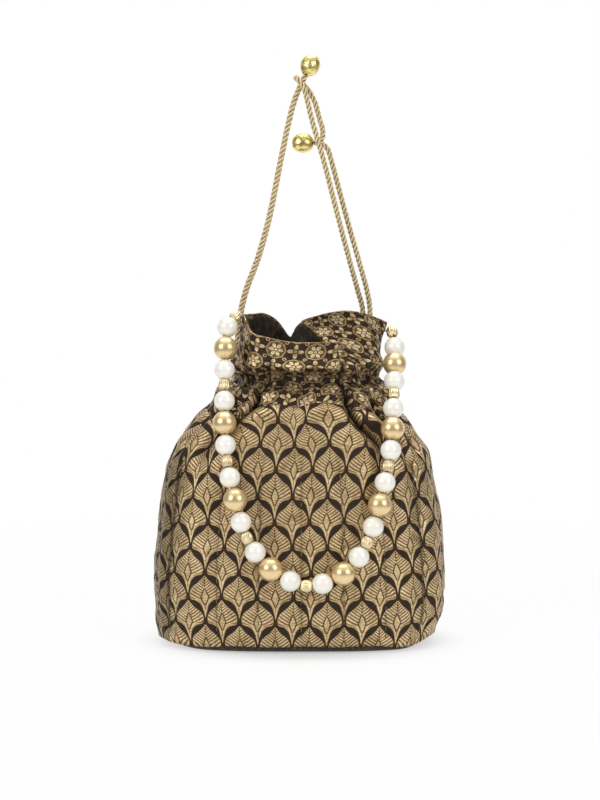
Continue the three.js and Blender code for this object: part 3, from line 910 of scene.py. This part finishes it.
def seam_height(angle):
    """Height of the upper seam, eased between the directions where it is given."""
    directions, heights = np.array(SEAM).T
    levels = [np.interp(np.asarray(angle) + turn, directions, heights, period=360)
              for turn in (-6, -3, 0, 3, 6)]
    a, before, after, _, _ = between_creases(angle, 160)
    return np.mean(levels, axis=0) + 3 * (np.sin(np.pi * (a - before) / (after - before)) ** .7 - .6)


def gathers(angle, height):
    """How far gathered cloth stands out from the smooth bag, slips round it, and how much painted shade its
    creases get.
    """
    a, before, after, one, two = between_creases(angle, height)
    width = after - before
    t = (a - before) / width
    deep = one * (1 - t) + two * t
    arch = np.sin(np.pi * t) ** .6
    open_arch = 1 - (1 - arch) * np.minimum(1, deep)
    pillow = 5.4 * open_arch * smooth(112, 150, height) * (1 - smooth(158, 174, height))
    crease = 6.4 * smooth(116, 158, height) * (1 - .5 * smooth(164, 177, height))
    crease = crease * (1 - .85 * smooth(188, 214, height))
    folds = smooth(128, 164, height) * (1 - .9 * smooth(186, 212, height))
    small = np.sin(6 * np.pi * t + deep * 5) * .55 * smooth(160, 172, height) * (1 - smooth(190, 206, height))
    above = height - seam_height(angle)
    lip = 2.6 * open_arch * bell(above, -6.5, 4) * (above < 0)
    side = np.cos(np.radians(angle))
    flatter = 1 - .85 * side ** 2
    pulled_in = 2.6 * np.clip(side, 0, 1) ** 2 * smooth(128, 146, height) * (1 - smooth(160, 174, height))
    out = (pillow + lip) * flatter - pulled_in - (1 - arch) * deep * crease + small
    # Painted shade: deepest in the creases between the pillows, up the gathered part
    dark = np.clip((1 - arch) * deep - .35, 0, 1) * smooth(124, 156, height) * (1 - smooth(186, 206, height))
    return out, -np.sin(2 * np.pi * t) * width * .085 * folds * np.minimum(1, deep), dark


def normals_of(grid, closed):
    """Outward directions of a grid of points."""
    if closed:
        wide = np.concatenate([grid[:, -2:-1], grid, grid[:, 1:2]], axis=1)
        across = (wide[:, 2:] - wide[:, :-2])
    else:
        across = np.gradient(grid, axis=1)
    up = np.gradient(grid, axis=0)
    out = np.cross(across, up)
    return out / np.linalg.norm(out, axis=2)[..., None]


BODY_COLUMNS = 433
BODY_ROWS = 92
QUILT_LINES = 19
QUILT_SHIFT = .28       # of a channel, from direction 0 to the first line
SIDE_SEAMS = (11, 17)   # the lines that are the seams at the left and the right
LEFT_SEAM_MOVED = -9.4  # from the place of an even line
STITCH_HEIGHTS = np.arange(7, 122, 4.7)
DARKEST = .93           # the most painted shade, deep in a crease


def round_bag(angle, height):
    """Length round the bag's smooth outside from direction 0 to each direction, at each height."""
    levels = np.linspace(40, 180, 57)
    rounds = np.array([lengths_along(on_bag(np.linspace(0, 360, 721), level)) for level in levels])
    row = np.clip((height - 40) / 2.5, 0, 55.999)
    column = np.clip((angle % 360) * 2, 0, 719.999)
    i, j = row.astype(int), column.astype(int)
    u, v = row - i, column - j
    here = (rounds[i, j] * (1 - v) + rounds[i, j + 1] * v) * (1 - u)
    here = here + (rounds[i + 1, j] * (1 - v) + rounds[i + 1, j + 1] * v) * u
    return here + np.floor(angle / 360) * (rounds[i, -1] * (1 - u) + rounds[i + 1, -1] * u)


def straight_below(angle, height, angles, girth):
    """Where on the belly's girth a place's cloth hangs: below it, or at the sides in its own direction."""
    own = np.interp(angle % 360, angles, np.linspace(0, girth, len(angles)))
    wide = np.interp(height, BAG_PROFILE[:, 0], BAG_PROFILE[:, 1])
    belly = np.interp(BELLY, BAG_PROFILE[:, 0], BAG_PROFILE[:, 1])
    side = np.clip(on_bag(angle, height)[..., 0] / wide, -1, 1)
    far = side * (wide + (belly - wide) * side ** 2) / belly
    turn = np.degrees(np.arccos(np.sign(far) * np.abs(far) ** 1.5))
    turn = np.where(np.sin(np.radians(angle)) < 0, 360 - turn, turn)
    below = np.interp(turn, angles, np.linspace(0, girth, len(angles)))
    share = smooth(.55, .95, np.abs(side))
    return own * share + below * (1 - share) + np.floor(angle / 360) * girth


def tucked(across, angle, height, angles, girth):
    """Where the flat cloth shows: as the bag narrows, cloth beside each deep crease goes into it."""
    a, before, after, _, _ = between_creases(angle, height, CREASES[CREASES[:, 1] > .5])
    start, place, end = (round_bag(turn, height) for turn in (before, a, after))
    left, right = (straight_below(turn, height, angles, girth) for turn in (before, after))
    t = np.clip(2 * (place - start) / (end - start) - 1, -1, 1)
    last = np.sign(t) * np.abs(t) ** 9 * (right - left - end + start)
    shown = (left + right + t * (end - start) + last) / 2
    shown = shown - np.where(a - angle > 180, girth, 0)
    high = smooth(60, 112, height)
    return across * (1 - high) + shown * high


def quilt_places(girth):
    """Where the quilted lines and the two side seams lie along the belly's girth."""
    places = (np.arange(QUILT_LINES) + QUILT_SHIFT) * girth / QUILT_LINES
    places[SIDE_SEAMS[0]] += LEFT_SEAM_MOVED
    return places


def pressed(grid, direction):
    """The cloth, pressed in where the handle's pearls lie on it."""
    for k in range(PEARLS):
        gap = np.linalg.norm(grid - middle(f"pearl_{k + 1:02d}"), axis=-1) - PEARL
        grid = grid - direction * np.clip(CLEAR - gap, 0, 3)[..., None]
    return grid


def body():
    """The leaf cloth from the base up to the top band, quilted and gathered."""
    angles, girth = belly_angles(BODY_COLUMNS)
    fine = np.linspace(BASE_SEAM, 175, 600)
    climb = lengths_along(on_bag(270, fine))
    tallest = np.interp(seam_height(angles), fine, climb)
    up = np.linspace(0, 1, BODY_ROWS)[:, None] * tallest[None]
    height = np.interp(up, climb, fine)
    angle = angles[None] + 0 * height
    out, slip, dark = gathers(angle, height)
    grid = on_bag(angle + slip, height)
    direction = normals_of(on_bag(angle, height), True)
    across = np.linspace(0, girth, BODY_COLUMNS)[None] + 0 * height
    channel = girth / QUILT_LINES
    lines = quilt_places(girth)
    from_lines = np.abs((across[..., None] - lines + girth / 2) % girth - girth / 2)
    from_line, from_seam = from_lines.min(axis=-1), from_lines[..., SIDE_SEAMS].min(axis=-1)
    ungathered = 1 - smooth(118, 140, height)
    plain = smooth(0, 14, up) * ungathered
    side_seam = np.exp(-from_seam / 3.5) * plain
    behind = (across < lines[SIDE_SEAMS[0]]) * ungathered
    puff = (np.clip(from_line / (channel / 2), 0, 1) ** .5 - .75) * 2.4 * plain
    pucker = np.sin(up / 8.5 * 2 * np.pi + np.sin(across * .31) * 3) * np.exp(-from_line / 5) * plain
    lumps = seeded_noise(grid, 38, 3) * 2 * plain + seeded_noise(grid, 14, 5) * .8
    dents = np.clip(1 - np.abs(seeded_noise(grid * (1, 1, .6), 30, 21)) * 6, 0, 1)
    dents = dents * seeded_noise(grid, 25, 22)
    lumps = lumps - np.clip(dents, 0, 1) * 3 - side_seam * 1.6
    away = np.maximum(out + puff + pucker + lumps, -1.6 - 9 * smooth(122, 150, height))
    grid = grid + direction * away[..., None]
    grid[:, -1] = grid[:, 0]
    hidden = smooth(45, 88, np.abs(grid[0, :, 0])) * 2.6
    grid[0, :, 2] = BASE_SEAM - hidden + seeded_noise(grid[0], 20, 8) * .8
    grid = pressed(turned_up(grid), direction)
    inside = np.sin(np.pi * across / girth) ** .1
    shown = tucked(across, angle, height, angles, girth) + seeded_noise(grid, 42, 6) * 1.6 * inside
    moved = smooth(0, 250, across) * behind
    shown = shown + 8 * moved
    risen = up + seeded_noise(grid, 42, 7) * 1.6 * inside + 6 * moved
    uv = np.stack([shown * MM, risen * MM], -1).reshape(-1, 2)
    faces = grid_faces(BODY_ROWS, BODY_COLUMNS)
    cloth = add_mesh("body_cloth", grid.reshape(-1, 3), faces, FINISHES["leaf"], uv)
    # Painted shade along the quilting lines and the side seams, and on the strip turned away behind the left
    # seam, added to the painted shade of the creases
    quilt_line_shade = np.exp(-from_line / .8) * (.4 + seeded_noise(grid, 7, 9) * .5) * plain
    shade = behind * smooth(262, 292, across) * .4
    mark(cloth, "fold", np.clip(dark + quilt_line_shade + side_seam ** 3 * .7 + shade, 0, DARKEST))
    thicken(cloth, BROCADE)
    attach(cloth, "bag")
    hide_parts("front_panel", "back_panel")
    stitches = quilting(grid, up, lines / girth)


STITCH = [(.02, -1.6), (.24, -1.5), (.38, -1), (.42, 0), (.38, 1), (.24, 1.5), (.02, 1.6)]


def quilting(grid, up, lines):
    """Rows of stitches up the valleys between the quilted channels."""
    normals = normals_of(grid, True)
    places, along, outward = [], [], []
    for line in lines:
        column = line * (BODY_COLUMNS - 1)
        low = int(column)
        part = column - low
        points = grid[:, low] * (1 - part) + grid[:, low + 1] * part
        climbed = up[:, low]
        for height in STITCH_HEIGHTS:
            ends = [[np.interp(height + step, climbed, points[:, k]) for k in range(3)] for step in (-1, 1)]
            places.append(np.mean(ends, axis=0))
            along.append(np.subtract(*ends[::-1]))
            outward.append(normals[np.searchsorted(climbed, height), low])
    stitches = repeat("quilting_stitches", lathe(STITCH, 6), places, along, outward, FINISHES["stitch"])
    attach(stitches, "bag")
    return stitches


BAND_COLUMNS = 241
NECK_ROWS = 25
RUFFLE_ROWS = 24
DRAWN_IN = 181.5       # height at which the drawstrings pull the cloth in


def cinch(height, angle):
    """How far the cloth bulges above and below the drawstrings, most in front, and is pulled in at them."""
    most = 2.6 + 3.2 * bell(angle, 610, 55)
    return most * bell(height, 191.5, 4.6) - 4.2 * bell(height, DRAWN_IN, 3.6) + 4 * bell(height, 171, 4)


def band():
    """The floral cloth: gathered at the neck, then free as a ruffle with a slit at the front right."""
    even = np.linspace(0, RIM_ALONG[-1], BAND_COLUMNS)
    edge = np.stack([np.interp(even, RIM_ALONG, RIM_CURVE[:, k]) for k in range(4)], axis=1)
    turn, rim_point = edge[:, 0], edge[:, 1:]
    lowest = seam_height(turn) - .6
    height = lowest[None] + (CASING_TOP - lowest)[None] * np.linspace(0, 1, NECK_ROWS)[:, None]
    angle = turn[None] + 0 * height
    out, slip, dark = gathers(angle % 360, height)
    neck = on_bag(angle + slip, height)
    direction = normals_of(on_bag(angle, height), False)
    rise = np.linspace(0, 1, RUFFLE_ROWS + 1)[1:, None]
    more_out, _, more_crease_shade = gathers(turn[None] % 360, CASING_TOP + rise * 30)
    foot = on_bag(turn, CASING_TOP)
    lift = np.stack([rise ** 1.5, rise ** 1.5, rise], -1)
    ruffle = foot[None] * (1 - lift) + rim_point[None] * lift
    grid = plain = np.concatenate([neck, ruffle])
    direction = np.concatenate([direction, np.repeat(direction[-1][None], RUFFLE_ROWS, 0)])
    level = grid[..., 2] + seeded_noise(grid * (1, 1, 0), 16, 14) * 3
    sewn = smooth(0, 7, grid[..., 2] - lowest[None])
    tight = bell(grid[..., 2], 179, 10) * sewn
    drift = seeded_noise(grid * (1, 1, .5), 15, 13)
    pleats = np.abs(np.sin(even / 5.6 * np.pi / 2 + drift * 4)) ** .5 * 4.6 - 2.8 + drift * 2
    waves = seeded_noise(grid, 24, 12) * 2 + seeded_noise(grid, 10, 15) * (.9 + 1.5 * tight)
    pulled = cinch(level, turn[None])
    pulled = np.where(pulled < 0, pulled * (1 - .8 * bell(turn, 352, 24)), pulled)
    away = np.concatenate([out, more_out]) + (pulled + pleats * tight + waves) * sewn
    at_ropes = smooth(168, 173, grid[..., 2]) * (1 - smooth(185, 189, grid[..., 2]))
    away = np.maximum(away, -3.5 - 6 * (1 - at_ropes))
    grid = grid + direction * away[..., None]
    down = np.linalg.norm(np.diff(grid, axis=0), axis=2)[::-1].cumsum(axis=0)[::-1]
    up = -np.concatenate([down, np.zeros((1, BAND_COLUMNS))])
    steps = np.linalg.norm(np.diff(plain, axis=1), axis=2).cumsum(axis=1)
    along = np.concatenate([np.zeros((len(plain), 1)), steps], axis=1)
    panel, flap = np.searchsorted(turn, (328, 612))
    across = along - along[:, panel:panel + 1] + even[panel]
    at_flap = smooth(400, 545, turn)[None]
    across = across * (1 - at_flap) + (along - along[:, flap:flap + 1] + even[flap]) * at_flap
    uv = np.stack([across * MM, up * MM], -1).reshape(-1, 2)
    faces = grid_faces(len(grid), BAND_COLUMNS)
    cloth = add_mesh("top_band_cloth", grid.reshape(-1, 3), faces, FINISHES["floral"], uv)
    # Painted shade in the pleat valleys and random crumples of the tight neck, and in the groove where the
    # drawstrings pull in, added to the painted shade of the creases
    crumple_shade = np.clip(seeded_noise(grid * (1, 1, 1.6), 6, 17) * 1.8 - .45, 0, .8)
    valley_shade = (np.clip(-.15 - pleats / 3, 0, .9) + crumple_shade) * tight
    groove = bell(level, DRAWN_IN, 4.5) * .32
    dark = np.concatenate([dark, more_crease_shade + 0 * ruffle[..., 0]])
    mark(cloth, "fold", np.clip(dark + valley_shade + groove, 0, DARKEST))
    mark(cloth, "slit", np.minimum(even, RIM_ALONG[-1] - even)[None] + 0 * up)
    thicken(cloth, BROCADE)
    soft = cloth.modifiers.new("soft", "SUBSURF")
    soft.levels = soft.render_levels = 1
    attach(cloth, "bag")
    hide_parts("top_band")
    return grid, turn


def foot_sheet(name, rings, thick, finish, node):
    """A sheet across the foot of the bag, from rings of points that grow from its middle outward."""
    grid = np.array(rings)
    grid[:, -1] = grid[:, 0]
    points = np.vstack([grid.reshape(-1, 3), [[0, 0, grid[0, 0, 2]]]])
    faces = grid_faces(len(grid), grid.shape[1])
    faces += [(len(points) - 1, k + 1, k) for k in range(grid.shape[1] - 1)]
    sheet = add_mesh(name, turned_up(points), faces, FINISHES[finish])
    thicken(sheet, thick)
    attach(sheet, "bag")
    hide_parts(node)


def foot():
    """The black cloth under the bag, its edge turned up to the seam, its card and the lining's floor."""
    angles, _ = belly_angles(145)
    sizes = (.12, .4, .6, .75, .85, .94)

    def flat_rings(inset, height):
        return [on_bag(angles, 0, inset) * (size, size, 1) + (0, 0, height) for size in sizes + (1,)]
    rings = flat_rings(4.5, 0)[:-1]
    rings += [on_bag(angles, 0, 3) + (0, 0, .15), on_bag(angles, .9, 1.2), on_bag(angles, 2.2, .3)]
    rings += [on_bag(angles, BASE_SEAM + 3, 1.2)]
    foot_sheet("base_cloth", rings, .9, "black", "base_panel")
    foot_sheet("base_card", flat_rings(4.2, 1.3), 2, "card", "base_board")
    foot_sheet("lining_floor", flat_rings(5, 3.6), LINING, "black", "lining_base")


foot()
body()
band_grid, band_turn = band()


def lining():
    """Black cloth inside the ruffle, the neck and the body."""
    out = normals_of(band_grid, False)
    creased = 2.3 + seeded_noise(band_grid * (1, 1, .4), 9, 16)[..., None] * .9
    creased[-3:] = 1.9
    upper = (band_grid - out * creased)[NECK_ROWS + 4:-1]
    heights = np.array([6, 20, 45, 75, 105, 125, 140, 150, 158, 165, 171, 177, 183, 189, 194])
    insets = np.array([3, 3, 3, 3, 3.2, 3.6, 4.5, 6, 8, 9.6, 10.4, 10.4, 9.6, 7.5, 5])
    lower = on_bag(band_turn[None], heights[:, None], insets[:, None])
    ripple, _, _ = gathers(band_turn[None] % 360, heights[:, None])
    lower = lower + normals_of(lower, False) * (ripple * .35 * smooth(120, 170, heights)[:, None])[..., None]
    grid = turned_up(np.concatenate([lower, upper]))
    faces = grid_faces(len(grid), BAND_COLUMNS)
    cloth = add_mesh("lining_cloth", grid.reshape(-1, 3), faces, FINISHES["black"])
    thicken(cloth, LINING)
    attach(cloth, "bag")
    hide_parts("lining")


lining()

# The handle's string keeps its CAD shape, with a finish of its own
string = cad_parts["handle_string"]
string.data.materials.clear()
string.data.materials.append(FINISHES["thread"])


# Studio
ROOM_LIGHT = .32
FLOOR = 6000
# Name, place, size and power of each lamp, and the height at the bag's middle that it looks at
LAMPS = (
    ("left_box", (-1.15, -1.15, .78), (.9, .9), 9.8, .18),
    ("right_box", (1.15, -1.15, .78), (.9, .9), 8.8, .18),
    ("top_box", (0, .25, 1.7), (1.5, 1.1), 13, .15),
)


def rays(shade, *kinds):
    """Shades that are 1 on light paths of the kinds named, such as Camera or Glossy."""
    plugs = shade.make("ShaderNodeLightPath").socket.node.outputs
    return [Shade(shade.tree, plugs[f"Is {kind} Ray"]) for kind in kinds]


def white_room():
    """A white backdrop for the camera, softer light for the bag, and a room to be mirrored in its beads."""
    world = bpy.data.worlds.new("white_room")
    bpy.context.scene.world = world
    world.use_nodes = True
    shade = Shade(world.node_tree)
    camera_ray, through_ray, glossy_ray = rays(shade, "Camera", "Transmission", "Glossy")
    _, back, up = shade.make("ShaderNodeTexCoord", out=0).parts()
    backdrop = back.step(.35, .8).larger(up.step(.55, .9))
    shine = glossy_ray * (backdrop * .7 + .22)
    strength = camera_ray.larger(through_ray).larger(shine).larger((1 - glossy_ray) * ROOM_LIGHT)
    feed(world.node_tree.nodes["Background"], Color=(1, 1, 1, 1), Strength=strength)


def white_floor():
    """A floor that takes the bag's shadow and fades into the backdrop."""
    material, main, shade = finish_of("white_floor")
    place = shade.make("ShaderNodeTexCoord", out=3)
    grain = shade.noise(place, 6, 2)
    feed(main, Base_Color=grain.mixed((.93, .93, .93, 1), (.95, .95, .95, 1)), Roughness=.6,
         Specular_IOR_Level=.1)
    camera_ray, glossy_ray = rays(shade, "Camera", "Glossy")
    seen = camera_ray.larger(glossy_ray)
    white = shade.make("ShaderNodeEmission", {"Strength": 1})
    clear = shade.make("ShaderNodeBsdfTransparent")

    def far(vector):
        return shade.make("ShaderNodeVectorMath", {0: vector}, out=1, operation="LENGTH")
    away = far(place.stretched((.86, 1, 1))).step(.05, .105)
    plain = Shade(shade.tree, main.outputs[0])
    near = shade.make("ShaderNodeMixShader", {0: seen * (away * .6 + .34), 1: plain, 2: white})
    floor_shader = shade.make("ShaderNodeMixShader", {0: seen * far(place).step(.3, .75), 1: near, 2: clear})
    feed(shade.tree.nodes["Material Output"], Surface=floor_shader)
    corners = [(x * FLOOR, y * FLOOR, 0) for x, y in ((-1, -1), (1, -1), (1, 1), (-1, 1))]
    floor = add_mesh("floor", corners, [(0, 1, 2, 3)], material)


def studio():
    """Three soft lamps over a white floor in a white room."""
    bpy.context.scene.view_settings.view_transform = "Standard"
    white_room()
    white_floor()
    for name, place, size, power, aim in LAMPS:
        data = bpy.data.lights.new(name, "AREA")
        data.shape = "RECTANGLE"
        data.size, data.size_y = size
        data.energy = power
        box = bpy.data.objects.new(name, data)
        box.location = place
        box.rotation_euler = facing(place, (0, 0, aim))
        bpy.context.collection.objects.link(box)


studio()
